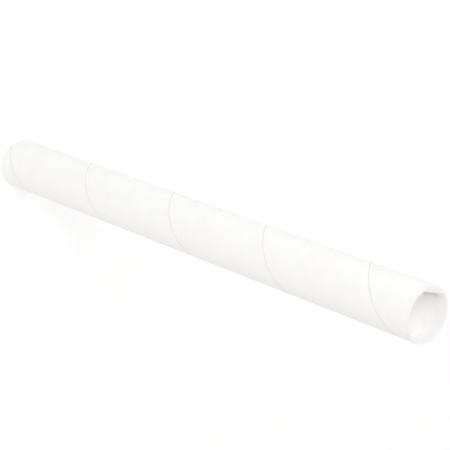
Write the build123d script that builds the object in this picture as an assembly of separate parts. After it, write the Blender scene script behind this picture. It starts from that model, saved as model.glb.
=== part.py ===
from build123d import *
import os

# Spiral-wound white cardboard mailing tube, closed at both ends by moulded push-in plugs.
# It stands on its bottom plug: +Z runs along the tube's axis, the origin is the middle of the
# lowest face, and the finger tab of each plug is on the -X side. Millimetres throughout.

# cardboard tube
tube_length = 609.6  # 24 in between the cut ends
tube_bore = 50.8  # 2 in inside diameter
tube_wall = 2.03
cut_edge_break = 0.15  # soft outer corner that the saw leaves on the cut ends

# butt joints of the paper plies, each a shallow helical groove
seam_pitch = 137.2  # advance along the tube in one turn of the winding
seam_angle = 21.7  # where the outer joint runs out at the tube's top end, from +X
seam_gap = 0.6
outer_ply = 0.3  # depth of the joint on the outside
inner_ply = 0.3  # depth of the joint in the bore
inner_seam_turn = 60.0  # the bore's joint lies this far on round the tube

# plug, the same moulding at both ends
bead_clearance = 0.15  # radial, between the sealing bead and the bore
bead_height = 0.2
bead_width = 1.6
bead_depth = 5.0  # below the tube's cut end
skirt_depth = 17.0  # how far the plug reaches into the bore
skirt_wall = 0.6
skirt_lead_in = 1.2  # bevel that starts the plug into the bore
floor_thickness = 1.0
floor_bevel = 1.0  # between the floor of the recess and its wall
lip_thickness = 0.9
lip_overlap = 1.8  # how far the lip lies on the tube's cut end
lip_bevel = 0.3
mouth_bevel = 0.4
tab_reach = 4.1  # width of the crescent finger tab at its middle
tab_thickness = 1.1
tab_rib_height = 1.2
tab_rib_width = 1.3
tab_round = 0.4

# sizes that follow
bore_radius = tube_bore / 2
tube_radius = bore_radius + tube_wall
lip_radius = bore_radius + lip_overlap
bead_radius = bore_radius - bead_clearance
skirt_radius = bead_radius - bead_height
recess_radius = skirt_radius - skirt_wall
tab_root_radius = (recess_radius + mouth_bevel + skirt_radius) / 2  # in the wall, past the mouth's bevel
tab_edge = recess_radius - tab_reach
tube_bottom = lip_thickness
tube_top = tube_bottom + tube_length
seam_run_on = seam_pitch / 8  # the cutters of the joints run on this far past each cut end
closing_line_angle = seam_angle + 120  # the cylinders close well away from the joints' top ends


def joint_start_angle(angle_at_top):
    """Angle at which a helical joint starts, below the tube, to reach the top end where it should."""
    return angle_at_top - 360 * (tube_length + seam_run_on) / seam_pitch


def joint_groove(radius, depth, angle_at_top, side):
    """Cutter for a helical butt joint in the outer (side 1) or the inner (side -1) face of the wall."""
    helix = Helix(pitch=seam_pitch, height=tube_length + 2 * seam_run_on, radius=radius)
    helix = Location((0, 0, tube_bottom - seam_run_on), (0, 0, joint_start_angle(angle_at_top))) * helix
    start = helix @ 0
    across = Plane(origin=start, x_dir=Vector(start.X, start.Y, 0).normalized(), z_dir=helix % 0)
    clear = 0.8  # the cutter stands this far out of the wall
    section = Location((side * (clear - depth) / 2, 0)) * Rectangle(clear + depth, seam_gap)
    return sweep(across * section, path=helix, is_frenet=True)


def build_tube():
    middle = (bore_radius + tube_wall / 2, tube_bottom + tube_length / 2)
    section = Location(middle) * Rectangle(tube_wall, tube_length)
    wall = revolve(Plane.XZ * section, Axis.Z)
    outer_rims = wall.edges().filter_by(GeomType.CIRCLE).group_by(SortBy.RADIUS)[-1]
    wall = chamfer(outer_rims, cut_edge_break)
    wall = Rot(0, 0, closing_line_angle) * wall
    wall -= joint_groove(tube_radius, outer_ply, seam_angle, 1)
    wall -= joint_groove(bore_radius, inner_ply, seam_angle + inner_seam_turn, -1)
    return wall


def bevelled(profile, x, y, length):
    """The flat profile with its corner at (x, y) bevelled."""
    corner = profile.vertices().sort_by_distance((x, y, 0))[0]
    return chamfer(corner, length)


def build_plug():
    """The plug with its seat on the cut end at z = 0, its lip above that and its cup below."""
    cup_floor = floor_thickness - skirt_depth
    profile = make_face(
        Polyline(
            (0, -skirt_depth),
            (skirt_radius, -skirt_depth),
            (skirt_radius, -bead_depth - bead_width / 2),
            (bead_radius, -bead_depth),
            (skirt_radius, -bead_depth + bead_width / 2),
            (skirt_radius, 0),
            (lip_radius, 0),
            (lip_radius, lip_thickness),
            (recess_radius, lip_thickness),
            (recess_radius, cup_floor),
            (0, cup_floor),
            close=True,
        )
    )
    profile = bevelled(profile, skirt_radius, -skirt_depth, skirt_lead_in)
    profile = bevelled(profile, lip_radius, lip_thickness, lip_bevel)
    profile = bevelled(profile, recess_radius, lip_thickness, mouth_bevel)
    profile = bevelled(profile, recess_radius, cup_floor, floor_bevel)
    cup = revolve(Plane.XZ * profile, Axis.Z)
    return cup + build_tab()


def crescent(width):
    """The part of the recess's mouth, rooted in its wall, that lies within a width of the tab's edge."""
    strip = Location((-tab_edge - width / 2, 0)) * Rectangle(width, 2 * tab_root_radius)
    return Circle(tab_root_radius) & strip


def build_tab():
    """Finger tab: a crescent shelf level with the lip, with a grip rib under its straight edge."""
    shelf_bottom = lip_thickness - tab_thickness
    shelf = extrude(Location((0, 0, shelf_bottom)) * crescent(tab_root_radius - tab_edge), tab_thickness)
    rib = extrude(Location((0, 0, shelf_bottom - tab_rib_height)) * crescent(tab_rib_width), tab_rib_height)
    tab = shelf + rib
    edge_lines = tab.edges().filter_by(Axis.Y).group_by(Axis.X)[-1]
    return fillet(edge_lines, tab_round)


tube = build_tube()
plug = build_plug()
top_plug = Location((0, 0, tube_top)) * plug
bottom_plug = Location((0, 0, tube_bottom)) * Rot(180, 0, 0) * plug

os.makedirs("parts", exist_ok=True)
for name, piece in (("tube", tube), ("top_plug", top_plug), ("bottom_plug", bottom_plug)):
    export_step(piece, f"parts/{name}.step")
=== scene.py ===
import math

import bmesh
import bpy
from mathutils import Matrix, Vector, noise


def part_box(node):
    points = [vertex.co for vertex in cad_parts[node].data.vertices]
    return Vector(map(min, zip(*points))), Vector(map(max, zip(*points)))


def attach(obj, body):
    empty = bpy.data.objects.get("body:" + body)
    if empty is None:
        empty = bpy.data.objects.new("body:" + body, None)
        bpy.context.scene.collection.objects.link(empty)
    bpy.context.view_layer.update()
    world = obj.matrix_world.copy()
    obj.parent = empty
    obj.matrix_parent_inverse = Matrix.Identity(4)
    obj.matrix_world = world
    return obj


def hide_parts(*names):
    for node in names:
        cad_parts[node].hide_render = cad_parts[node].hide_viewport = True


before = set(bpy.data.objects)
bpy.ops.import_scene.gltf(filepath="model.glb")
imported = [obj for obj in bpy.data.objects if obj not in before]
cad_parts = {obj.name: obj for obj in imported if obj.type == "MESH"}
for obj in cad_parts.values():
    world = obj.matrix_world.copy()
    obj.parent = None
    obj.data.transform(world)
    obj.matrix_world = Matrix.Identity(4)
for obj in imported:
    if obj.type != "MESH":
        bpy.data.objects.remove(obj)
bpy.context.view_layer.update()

MM = 0.001

# winding of the tube's plies, as in the part
SEAM_PITCH = 137.2 * MM  # advance along the tube in one turn
SEAM_ANGLE = math.radians(21.7)  # where the outer joint runs out at the tube's top end, from +X
SEAM_GAP = 0.6 * MM
PLY_DEPTH = 0.3 * MM
BORE_SEAM_TURN = math.radians(60)  # the bore's joint lies this far on round the tube
TUBE_WALL = 2.03 * MM
JOINT_PROFILE = (
    # half of a joint's section, the gap with its soft edge: place in gap widths, depth in ply depths
    (0.50, 1.00),
    (0.55, 0.93),
    (0.55, 0.25),
    (0.62, 0.06),
    (0.80, 0.0),
)
WAVE_HEIGHT = 0.03 * MM  # the paper's slight waves, which stay within the wall
WAVES_PER_METRE = 12

# plug moulding
LIP_THICKNESS = 0.9 * MM
BEAD_DEPTH = 5.0 * MM
BEAD_WIDTH = 1.6 * MM
BEAD_CLEARANCE = 0.15 * MM
BEAD_HEIGHT = 0.2 * MM
SKIRT_WALL = 0.6 * MM
SKIRT_LEAD_IN = 1.2 * MM
FLOOR_THICKNESS = 1.0 * MM
TAB_REACH = 4.1 * MM
TAB_THICKNESS = 1.1 * MM
TAB_RIB_HEIGHT = 1.2 * MM
TAB_RIB_WIDTH = 1.3 * MM
TAB_DROP = 0.05 * MM  # the tab's top lies this far under the lip's

# places and sizes from the frame
tube_low, tube_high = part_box("tube")
plug_low, plug_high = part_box("top_plug")
TUBE_RADIUS = tube_high.x
BORE_RADIUS = TUBE_RADIUS - TUBE_WALL
LIP_RADIUS = plug_high.x
SKIRT_DEPTH = tube_high.z - plug_low.z
SKIRT_RADIUS = BORE_RADIUS - BEAD_CLEARANCE - BEAD_HEIGHT
RECESS_RADIUS = SKIRT_RADIUS - SKIRT_WALL
RECESS_DEPTH = LIP_THICKNESS + SKIRT_DEPTH - FLOOR_THICKNESS
TAB_ROOT_RADIUS = RECESS_RADIUS + 0.8 * SKIRT_WALL  # the tab ends inside the skirt's wall
TAB_EDGE = TAB_REACH - RECESS_RADIUS  # its straight edge, on the -X side

# fineness of the meshes
LINER_GRID = (144, 18)  # faces round the tube, and from one joint to the next
BORE_GRID = (96, 10)
PLUG_SEGMENTS = 144
ROUNDING_STEPS = 6
SHARP_ANGLE = math.radians(35)
MERGE_DISTANCE = 0.001 * MM
CUT_TOLERANCE = 0.0001 * MM

# finish
WINDING = "winding"  # the tube's UV map: across and along the plies, in metres
RING_SPACING = 0.34 * MM  # of the plies on the cut ends
RING_WOBBLE = 0.1 * MM
RING_CONTRAST = 0.16
# painted shade under a plug's tab and in the floor's corner beyond it, standing in for the shadow there
PAINTED_SHADE_COLOR = (0.78, 0.74, 0.72)
PAINTED_SHADE_SPAN = 6 * MM  # the painted shade grows from none to full in this depth below the tab's rib
PAINTED_SHADE_SLOPE = 2.5  # it grows this many times faster back from the tab's edge than down
PAINTED_CORNER_SHADE_X = (-14.0 * MM, -17.2 * MM)  # painted shade in the floor's corner beyond the tab, from none to full
PAINTED_CORNER_SHADE_DEPTH = (7.0 * MM, 13.0 * MM)

# camera at the photograph's viewing angle: the tube's near end is its top, and the picture is rolled
CAMERA_LENS = 131.766
SENSOR_WIDTH = 36
CAMERA_PLACE = (-0.194456, -1.152269, 1.483941)
CAMERA_AXES = (
    # to the right of the picture, to its top, and back from the tube
    (-0.236664, 0.702659, 0.671015),
    (-0.965247, -0.091243, -0.244893),
    (-0.110851, -0.705653, 0.699833),
)

# studio
FLOOR_REACH = 6
FLOOR_CELLS = 24
FLOOR_GLOW = 0.207
ROOM_SHADES = (
    # place from the -X side to the +X side, colour of the room there
    (0.1, (0.52, 0.52, 0.52)),
    (0.5, (0.84, 0.84, 0.838)),
    (0.9, (0.8, 0.78, 0.774)),
)
LAMPS = (
    # name, place, width, power
    ("key", (-1.29, -2.06, 2.36), 1.3, 22.5),
    ("side", (-2.37, 0.64, 2.32), 0.7, 14),
)
LAMP_TARGET = (0, 0, 0.6)


def place_camera():
    data = bpy.data.cameras.new("camera")
    data.lens = CAMERA_LENS
    data.sensor_width = SENSOR_WIDTH
    data.clip_start = 0.05
    data.clip_end = 50
    camera = bpy.data.objects.new("camera", data)
    bpy.context.scene.collection.objects.link(camera)
    place = Matrix(CAMERA_AXES).transposed().to_4x4()
    place.translation = CAMERA_PLACE
    camera.matrix_world = place
    bpy.context.scene.camera = camera


# meshes
def add_mesh(name, bm, materials):
    mesh = bpy.data.meshes.new(name)
    bm.to_mesh(mesh)
    bm.free()
    for material in materials:
        mesh.materials.append(material)
    piece = bpy.data.objects.new(name, mesh)
    bpy.context.scene.collection.objects.link(piece)
    return piece


def add_solid(name, bm, materials):
    """A piece from a closed mesh, with its faces turned outwards."""
    bmesh.ops.recalc_face_normals(bm, faces=bm.faces[:])
    return add_mesh(name, bm, materials)


def merge_points(bm):
    bmesh.ops.remove_doubles(bm, verts=bm.verts[:], dist=MERGE_DISTANCE)


# materials
class Nodes:
    """Short calls for building the nodes of a material, or of the world."""

    def __init__(self, owner, shader="Principled BSDF"):
        owner.use_nodes = True
        self.tree = owner.node_tree
        self.shader = self.tree.nodes[shader]

    def add(self, kind, inputs=None, **settings):
        """A new node with its settings, and with its inputs set or linked."""
        node = self.tree.nodes.new(kind)
        for key, value in settings.items():
            setattr(node, key, value)
        for key, value in (inputs or {}).items():
            socket = node.inputs[key]
            if isinstance(value, bpy.types.NodeSocket):
                self.tree.links.new(value, socket)
            else:
                socket.default_value = value
        return node

    def place(self):
        """Place in the part's frame, in metres."""
        return self.add("ShaderNodeTexCoord").outputs["Object"]

    def winding(self):
        """Place across and along the plies, in metres."""
        return self.add("ShaderNodeUVMap", uv_map=WINDING).outputs["UV"]

    def drawn_out(self, winding, share):
        """The winding with only a share of its length, which draws a pattern out along the plies."""
        node = self.add("ShaderNodeMapping", {"Vector": winding, "Scale": (1.0, share, 1.0)})
        return node.outputs["Vector"]

    def parts(self, vector):
        return self.add("ShaderNodeSeparateXYZ", {"Vector": vector}).outputs

    def noise(self, vector, scale, detail, roughness):
        inputs = {"Vector": vector, "Scale": scale, "Detail": detail, "Roughness": roughness}
        return self.add("ShaderNodeTexNoise", inputs).outputs["Fac"]

    def calc(self, operation, first, second=0.0):
        return self.add("ShaderNodeMath", {0: first, 1: second}, operation=operation).outputs[0]

    def blend(self, first, share, second):
        """A share of the first value with the rest of the second."""
        rest = self.calc("MULTIPLY", second, 1 - share)
        return self.calc("ADD", self.calc("MULTIPLY", first, share), rest)

    def off_axis(self, parts):
        """Distance from the tube's axis."""
        x_squared = self.calc("POWER", parts["X"], 2.0)
        y_squared = self.calc("POWER", parts["Y"], 2.0)
        return self.calc("SQRT", self.calc("ADD", x_squared, y_squared))

    def remap(self, value, start, end, low=0.0, high=1.0):
        """Goes from low to high, and no further, as the value goes from start to end."""
        inputs = {"Value": value, "From Min": start, "From Max": end, "To Min": low, "To Max": high}
        return self.add("ShaderNodeMapRange", inputs).outputs["Result"]

    def ramp(self, value, stops):
        """Colours between stops given as (value, colour)."""
        node = self.add("ShaderNodeValToRGB", {"Fac": value})
        elements = node.color_ramp.elements
        while len(elements) < len(stops):
            elements.new(0.5)
        for element, (position, color) in zip(elements, stops):
            element.position = position
            element.color = (*color, 1)
        return node.outputs["Color"]

    def mixed(self, factor, first, second):
        """Mixes two colours, which are the node's inputs 6 and 7 and its output 2."""
        node = self.add("ShaderNodeMix", {0: factor, 6: first, 7: (*second, 1)}, data_type="RGBA")
        return node.outputs[2]

    def bump(self, height, strength, distance):
        inputs = {"Height": height, "Strength": strength, "Distance": distance}
        return self.add("ShaderNodeBump", inputs).outputs["Normal"]

    def wire(self, source, socket):
        self.tree.links.new(source, self.shader.inputs[socket])

    def set(self, **values):
        for key, value in values.items():
            self.shader.inputs[key.replace("_", " ")].default_value = value


def white_paper():
    """Smooth white liner: fibres laid along the winding, a faint cloudy formation and a fine tooth."""
    liner = bpy.data.materials.new("white_liner")
    nodes = Nodes(liner)
    winding = nodes.winding()
    fibres = nodes.noise(nodes.drawn_out(winding, 0.16), scale=900, detail=3, roughness=0.6)
    clouds = nodes.noise(winding, scale=60, detail=3, roughness=0.55)
    tooth = nodes.noise(winding, scale=2600, detail=2, roughness=0.5)
    shades = ((0.3, (0.89, 0.887, 0.875)), (0.7, (0.93, 0.928, 0.918)))
    nodes.wire(nodes.ramp(nodes.blend(clouds, 0.6, fibres), shades), "Base Color")
    nodes.wire(nodes.remap(fibres, 0, 1, low=0.62, high=0.78), "Roughness")
    nodes.wire(nodes.bump(nodes.blend(fibres, 0.7, tooth), strength=0.35, distance=0.06 * MM), "Normal")
    nodes.set(IOR=1.45, Sheen_Weight=0.05)
    return liner


def core_board():
    """Cut edge of the wound board: thin plies in rings, grey-tan fibres and specks."""
    board = bpy.data.materials.new("core_board")
    nodes = Nodes(board)
    place = nodes.place()
    wobble = nodes.noise(place, scale=300, detail=2, roughness=0.5)
    wobble = nodes.calc("MULTIPLY", wobble, RING_WOBBLE)
    radius = nodes.calc("ADD", nodes.off_axis(nodes.parts(place)), wobble)
    rings = nodes.calc("SINE", nodes.calc("MULTIPLY", radius, 2 * math.pi / RING_SPACING))
    specks = nodes.noise(place, scale=2200, detail=4, roughness=0.7)
    shade = nodes.calc("ADD", nodes.calc("MULTIPLY", rings, RING_CONTRAST), specks)
    shades = ((0.25, (0.76, 0.735, 0.69)), (0.75, (0.89, 0.875, 0.84)))
    nodes.wire(nodes.ramp(shade, shades), "Base Color")
    nodes.wire(nodes.bump(shade, strength=0.5, distance=0.12 * MM), "Normal")
    nodes.set(Roughness=0.88, IOR=1.42)
    return board


def joint_ply():
    """The ply under the butt joint, seen at the bottom of the thin gap."""
    ply = bpy.data.materials.new("joint_ply")
    nodes = Nodes(ply)
    fibres = nodes.noise(nodes.place(), scale=1500, detail=3, roughness=0.6)
    shades = ((0.3, (0.73, 0.72, 0.7)), (0.7, (0.83, 0.82, 0.8)))
    nodes.wire(nodes.ramp(fibres, shades), "Base Color")
    nodes.wire(nodes.bump(fibres, strength=0.4, distance=0.08 * MM), "Normal")
    nodes.set(Roughness=0.85, IOR=1.42)
    return ply


def kraft_liner():
    """Unbleached liner of the bore, with long fibres along the winding."""
    liner = bpy.data.materials.new("kraft_liner")
    nodes = Nodes(liner)
    winding = nodes.winding()
    fibres = nodes.noise(nodes.drawn_out(winding, 0.12), scale=1100, detail=4, roughness=0.65)
    clouds = nodes.noise(winding, scale=90, detail=3, roughness=0.55)
    shades = ((0.3, (0.5, 0.4, 0.29)), (0.7, (0.62, 0.52, 0.4)))
    nodes.wire(nodes.ramp(nodes.blend(clouds, 0.5, fibres), shades), "Base Color")
    nodes.wire(nodes.bump(fibres, strength=0.4, distance=0.08 * MM), "Normal")
    nodes.set(Roughness=0.82, IOR=1.42)
    return liner


def painted_undercut_shade(nodes, place):
    """Painted shade from 0 to 1: behind the tab's edge, sparing the tab's own top, and in the floor's corner
    beyond it.
    """
    parts = nodes.parts(place)
    middle = (tube_low.z + tube_high.z) / 2
    from_middle = nodes.calc("ABSOLUTE", nodes.calc("SUBTRACT", parts["Z"], middle))
    depth = nodes.calc("SUBTRACT", plug_high.z - middle, from_middle)  # below the nearer plug's lip
    inside = nodes.calc("LESS_THAN", nodes.off_axis(parts), RECESS_RADIUS + SKIRT_WALL / 2)
    above_floor = nodes.calc("LESS_THAN", depth, RECESS_DEPTH + FLOOR_THICKNESS / 2)
    behind_edge = nodes.calc("SUBTRACT", TAB_EDGE, parts["X"])
    # the painted shade deepens with depth and back from the tab's edge
    sunk = nodes.calc("ADD", depth, nodes.calc("MULTIPLY", behind_edge, PAINTED_SHADE_SLOPE))
    rib_bottom = TAB_THICKNESS + TAB_RIB_HEIGHT
    painted_tab_shade = nodes.remap(sunk, rib_bottom, rib_bottom + PAINTED_SHADE_SPAN)
    painted_tab_shade = nodes.calc("MULTIPLY", painted_tab_shade, nodes.calc("GREATER_THAN", depth, TAB_THICKNESS))
    # painted shade in the floor's corner beyond the tab
    corner = nodes.calc("MULTIPLY", nodes.remap(parts["X"], *PAINTED_CORNER_SHADE_X), nodes.remap(depth, *PAINTED_CORNER_SHADE_DEPTH))
    shade = nodes.calc("MAXIMUM", painted_tab_shade, corner)
    return nodes.calc("MULTIPLY", shade, nodes.calc("MULTIPLY", inside, above_floor))


def white_plastic():
    """Soft white moulding: satin, with a very fine grain, faint flow clouds and a painted shade under its
    tab.
    """
    moulding = bpy.data.materials.new("white_moulding")
    nodes = Nodes(moulding)
    place = nodes.place()
    clouds = nodes.noise(place, scale=110, detail=2, roughness=0.5)
    grain = nodes.noise(place, scale=3200, detail=2, roughness=0.5)
    shades = ((0.3, (0.953, 0.943, 0.936)), (0.7, (0.964, 0.956, 0.95)))
    white = nodes.ramp(clouds, shades)
    # the painted shade under the tab darkens the base colour
    nodes.wire(nodes.mixed(painted_undercut_shade(nodes, place), white, PAINTED_SHADE_COLOR), "Base Color")
    nodes.wire(nodes.remap(clouds, 0, 1, low=0.38, high=0.5), "Roughness")
    nodes.wire(nodes.bump(grain, strength=0.25, distance=0.03 * MM), "Normal")
    nodes.set(IOR=1.5)
    return moulding


def floor_paint():
    """White studio floor that glows a little, so that it stays plain white."""
    paint = bpy.data.materials.new("studio_floor")
    nodes = Nodes(paint)
    clouds = nodes.noise(nodes.place(), scale=3, detail=2, roughness=0.5)
    shades = ((0.2, (0.89, 0.89, 0.89)), (0.8, (0.9, 0.9, 0.9)))
    nodes.wire(nodes.ramp(clouds, shades), "Base Color")
    nodes.set(Roughness=0.9, Specular_IOR_Level=0.2)
    nodes.set(Emission_Color=(1, 1, 1, 1), Emission_Strength=FLOOR_GLOW)
    return paint


# the tube
def ribbon_rows(axial, spans):
    """Rows of one turn, from joint to joint, as height over the joint's middle and depth below the face."""
    half = [(place * SEAM_GAP * axial, depth * PLY_DEPTH) for place, depth in JOINT_PROFILE]
    rows = [(-height, depth) for height, depth in reversed(half)] + half
    first, last = rows[-1][0], SEAM_PITCH + rows[0][0]
    for step in range(1, spans + 1):
        rows.append((first + (last - first) * step / spans, 0.0))
    return rows


def wall_point(radius, angle, z, side, depth):
    """A point at a depth below a face of the wall, with the paper's slight waves."""
    x, y = math.cos(angle), math.sin(angle)
    waves = noise.noise(Vector((x, y, z * WAVES_PER_METRE))) * WAVE_HEIGHT
    r = radius - side * (depth + WAVE_HEIGHT) + waves
    return (r * x, r * y, z)


def wound_sheet(bm, radius, angle_at_top, side, grid, face, joint):
    """One face of the wall as a helical sheet, longer than the tube, whose rows follow the joint.

    Each turn is a ribbon from one joint to the next. Its edges lie on those of the turns before and after it.
    side is 1 on the outside and -1 in the bore. face and joint are material slots.
    """
    columns, spans = grid
    lead = math.atan2(SEAM_PITCH, 2 * math.pi * radius)
    axial = 1 / math.cos(lead)  # a width square to the joint, measured along the tube
    rows = ribbon_rows(axial, spans)
    # the joint of turn 0 runs out at the top end, and the sheet goes on past both cut ends
    turns = math.ceil((tube_high.z - tube_low.z) / SEAM_PITCH) + 2
    uv = bm.loops.layers.uv.get(WINDING) or bm.loops.layers.uv.new(WINDING)
    for turn in range(-turns, 2):
        rings = []
        windings = {}
        for height, depth in rows:
            ring = []
            for column in range(columns + 1):
                angle = 2 * math.pi * column / columns
                z = tube_high.z + SEAM_PITCH * ((angle - angle_at_top) / (2 * math.pi) + turn) + height
                corner = bm.verts.new(wall_point(radius, angle, z, side, depth))
                ring.append(corner)
                # its place on the ply laid flat
                along = radius * (angle + 2 * math.pi * turn) * axial + height * math.sin(lead)
                windings[corner] = (height / axial, along)
            rings.append(ring)
        for row, (low, high) in enumerate(zip(rings, rings[1:])):
            slot = joint if min(rows[row][1], rows[row + 1][1]) > 0 else face
            for column in range(columns):
                loop = [low[column], low[column + 1], high[column + 1], high[column]]
                quad = bm.faces.new(loop[::side])
                quad.material_index = slot
                quad.smooth = True
                for corner in quad.loops:
                    corner[uv].uv = windings[corner.vert]


def trim(bm, height, keep_below):
    """Cuts the sheets square across at a height and returns the cut's edges."""
    cut = bmesh.ops.bisect_plane(
        bm,
        geom=bm.verts[:] + bm.edges[:] + bm.faces[:],
        dist=CUT_TOLERANCE,
        plane_co=(0, 0, height),
        plane_no=(0, 0, 1),
        clear_outer=keep_below,
        clear_inner=not keep_below,
    )
    return [part for part in cut["geom_cut"] if isinstance(part, bmesh.types.BMEdge)]


def round_normals(mesh, faces):
    """Gives the wall's faces a true cylinder's normals, so that nothing streaks where rows meet a cut end.

    faces holds each face's side and radius by its material slot. A zero normal leaves the mesh's own.
    """
    near = PLY_DEPTH / 4  # points this near to the radius lie on the face
    normals = []
    for polygon in mesh.polygons:
        side, radius = faces.get(polygon.material_index, (0, 0))
        for index in polygon.vertices:
            around = mesh.vertices[index].co.xy
            on_face = side and abs(around.length - radius) < near
            normals.append((*(side * around.normalized()), 0) if on_face else (0, 0, 0))
    mesh.normals_split_custom_set(normals)


def build_tube(materials):
    liner, board, joint, kraft = range(len(materials))  # material slots
    bm = bmesh.new()
    wound_sheet(bm, TUBE_RADIUS, SEAM_ANGLE, 1, LINER_GRID, liner, joint)
    wound_sheet(bm, BORE_RADIUS, SEAM_ANGLE + BORE_SEAM_TURN, -1, BORE_GRID, kraft, joint)
    merge_points(bm)
    for height, keep_below in ((tube_high.z, True), (tube_low.z, False)):
        edges = trim(bm, height, keep_below)
        cut_face = bmesh.ops.triangle_fill(bm, use_beauty=True, use_dissolve=False, edges=edges)
        for part in cut_face["geom"]:
            if isinstance(part, bmesh.types.BMFace):
                part.material_index = board
                part.smooth = False
    loose = [point for point in bm.verts if not point.link_faces]
    bmesh.ops.delete(bm, geom=loose, context="VERTS")
    piece = add_solid("wound_tube", bm, materials)
    round_normals(piece.data, {liner: (1, TUBE_RADIUS), kraft: (-1, BORE_RADIUS)})
    return piece


# the plugs
def rounded_outline(corners):
    """The outline (r, z) through corners given as (r, z, rounding)."""
    points = []
    for index, (r, z, rounding) in enumerate(corners):
        here = Vector((r, z))
        if rounding == 0:
            points.append(here)
            continue
        before = (Vector(corners[index - 1][:2]) - here).normalized()
        after = (Vector(corners[index + 1][:2]) - here).normalized()
        half = before.angle(after) / 2
        setback = rounding / math.tan(half)
        centre = here + (before + after).normalized() * (rounding / math.sin(half))
        start = here + before * setback - centre
        sweep = start.angle_signed(here + after * setback - centre)
        for step in range(ROUNDING_STEPS + 1):
            turned = start.copy()
            turned.rotate(Matrix.Rotation(-sweep * step / ROUNDING_STEPS, 2))
            points.append(centre + turned)
    return points


def lathe(bm, outline):
    """A closed solid of revolution from an outline (r, z) whose first and last points are on the axis."""
    first, *others, last = outline
    rings = []
    for r, z in others:
        ring = []
        for segment in range(PLUG_SEGMENTS):
            angle = 2 * math.pi * segment / PLUG_SEGMENTS
            ring.append(bm.verts.new((r * math.cos(angle), r * math.sin(angle), z)))
        rings.append(ring)
    start = bm.verts.new((0, 0, first[1]))
    end = bm.verts.new((0, 0, last[1]))
    for segment in range(PLUG_SEGMENTS):
        ahead = (segment + 1) % PLUG_SEGMENTS
        bm.faces.new((start, rings[0][ahead], rings[0][segment]))
        for low, high in zip(rings, rings[1:]):
            bm.faces.new((low[segment], low[ahead], high[ahead], high[segment]))
        bm.faces.new((rings[-1][segment], rings[-1][ahead], end))


def prism(bm, outline, reach):
    """A closed prism from a closed outline in the XZ plane, reaching as far to both sides along Y."""
    near = [bm.verts.new((x, -reach, z)) for x, z in outline]
    far = [bm.verts.new((x, reach, z)) for x, z in outline]
    bm.faces.new(near)
    bm.faces.new(list(reversed(far)))
    for index in range(len(outline)):
        ahead = (index + 1) % len(outline)
        bm.faces.new((near[ahead], near[index], far[index], far[ahead]))


def combine(piece, cutter, operation):
    """Applies an exact boolean to the piece, and removes the cutter."""
    modifier = piece.modifiers.new("combine", "BOOLEAN")
    modifier.operation = operation
    modifier.solver = "EXACT"
    modifier.object = cutter
    bpy.context.view_layer.update()
    graph = bpy.context.evaluated_depsgraph_get()
    mesh = bpy.data.meshes.new_from_object(piece.evaluated_get(graph))
    bm = bmesh.new()
    bm.from_mesh(mesh)
    merge_points(bm)
    bm.to_mesh(mesh)
    bm.free()
    piece.modifiers.clear()
    piece.data = mesh
    bpy.data.objects.remove(cutter)


def plug_outline():
    """Section of the cup and lip, with its seat on the cut end at z = 0, from the underside to the recess."""
    floor = FLOOR_THICKNESS - SKIRT_DEPTH
    corners = (
        # radius, height, rounding
        (0, -SKIRT_DEPTH, 0),
        (SKIRT_RADIUS - SKIRT_LEAD_IN, -SKIRT_DEPTH, 0.5 * MM),
        (SKIRT_RADIUS, SKIRT_LEAD_IN - SKIRT_DEPTH, 0.5 * MM),
        (SKIRT_RADIUS, -BEAD_DEPTH - BEAD_WIDTH / 2, 0.4 * MM),
        (SKIRT_RADIUS + BEAD_HEIGHT, -BEAD_DEPTH, 0.5 * MM),
        (SKIRT_RADIUS, -BEAD_DEPTH + BEAD_WIDTH / 2, 0.4 * MM),
        (SKIRT_RADIUS, 0, 0.15 * MM),
        (LIP_RADIUS, 0, 0.12 * MM),
        (LIP_RADIUS, LIP_THICKNESS, 0.35 * MM),
        (RECESS_RADIUS, LIP_THICKNESS, 0.5 * MM),
        (RECESS_RADIUS, floor, 1.7 * MM),
        (0, floor, 0),
    )
    return rounded_outline(corners)


def tab_outline():
    """Section of the tab in the XZ plane: a shelf just under the lip's top, with the grip rib at its edge."""
    top = LIP_THICKNESS - TAB_DROP
    shelf = top - TAB_THICKNESS
    rib = shelf - TAB_RIB_HEIGHT
    corners = (
        # x, height, rounding
        (-LIP_RADIUS, top, 0),
        (TAB_EDGE, top, 0.4 * MM),
        (TAB_EDGE, rib, 0.35 * MM),
        (TAB_EDGE - TAB_RIB_WIDTH, rib, 0.35 * MM),
        (TAB_EDGE - TAB_RIB_WIDTH, shelf, 0.4 * MM),
        (-LIP_RADIUS, shelf, 0),
    )
    return rounded_outline(corners)


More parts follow.
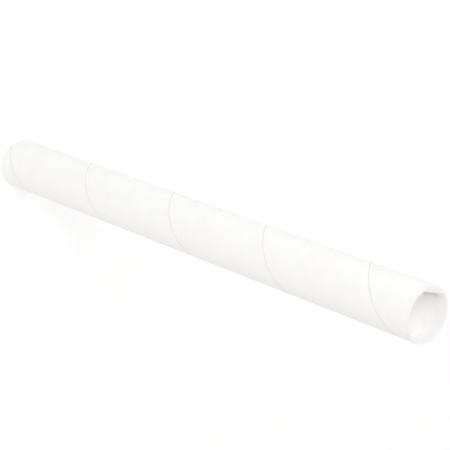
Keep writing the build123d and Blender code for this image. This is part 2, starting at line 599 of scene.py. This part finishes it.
def build_tab(materials):
    """The finger tab, cut round where it ends inside the skirt's wall."""
    shelf = bmesh.new()
    prism(shelf, tab_outline(), LIP_RADIUS)
    tab = add_solid("tab", shelf, materials)
    reach = LIP_THICKNESS + TAB_THICKNESS + TAB_RIB_HEIGHT  # past the tab's top and bottom
    root = bmesh.new()
    lathe(root, ((0, -reach), (TAB_ROOT_RADIUS, -reach), (TAB_ROOT_RADIUS, reach), (0, reach)))
    combine(tab, add_solid("root", root, materials), "INTERSECT")
    return tab


def build_plug(name, seat, turn, materials):
    """A plug seated at a height and turned about X, with its tab on the -X side."""
    cup = bmesh.new()
    lathe(cup, plug_outline())
    plug = add_solid(name, cup, materials)
    combine(plug, build_tab(materials), "UNION")
    plug.data.transform(Matrix.Translation((0, 0, seat)) @ Matrix.Rotation(turn, 4, "X"))
    plug.data.shade_smooth()
    plug.data.set_sharp_from_angle(angle=SHARP_ANGLE)
    return plug


# floor, light and look
def build_floor(material):
    bm = bmesh.new()
    bmesh.ops.create_grid(bm, x_segments=FLOOR_CELLS, y_segments=FLOOR_CELLS, size=FLOOR_REACH)
    floor = add_mesh("studio_floor", bm, [material])


def light_room():
    """A white room, dimmer on the -X side and warmer on the +X side."""
    world = bpy.data.worlds.new("studio")
    bpy.context.scene.world = world
    nodes = Nodes(world, "Background")
    direction = nodes.add("ShaderNodeTexCoord").outputs["Generated"]
    position = nodes.remap(nodes.parts(direction)["X"], -1, 1)
    nodes.wire(nodes.ramp(position, ROOM_SHADES), "Color")


def hang_lamp(name, place, width, power):
    """A soft square lamp turned to the tube's top."""
    data = bpy.data.lights.new(name, "AREA")
    data.shape = "SQUARE"
    data.size = width
    data.energy = power
    light = bpy.data.objects.new(name, data)
    bpy.context.scene.collection.objects.link(light)
    light.location = place
    aim = Vector(LAMP_TARGET) - Vector(place)
    light.rotation_euler = aim.to_track_quat("-Z", "Y").to_euler()


def set_look():
    view = bpy.context.scene.view_settings
    view.view_transform = "Standard"
    view.look = "None"
    view.exposure = 0
    view.gamma = 1


place_camera()

tube = build_tube([white_paper(), core_board(), joint_ply(), kraft_liner()])
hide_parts("tube")
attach(tube, "tube")

plastic = white_plastic()
for body, seat, turn in (("top_plug", tube_high.z, 0), ("bottom_plug", tube_low.z, math.pi)):
    moulding = build_plug(body + "_moulding", seat, turn, [plastic])
    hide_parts(body)
    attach(moulding, body)

build_floor(floor_paint())
light_room()
for name, place, width, power in LAMPS:
    hang_lamp(name, place, width, power)
set_look()
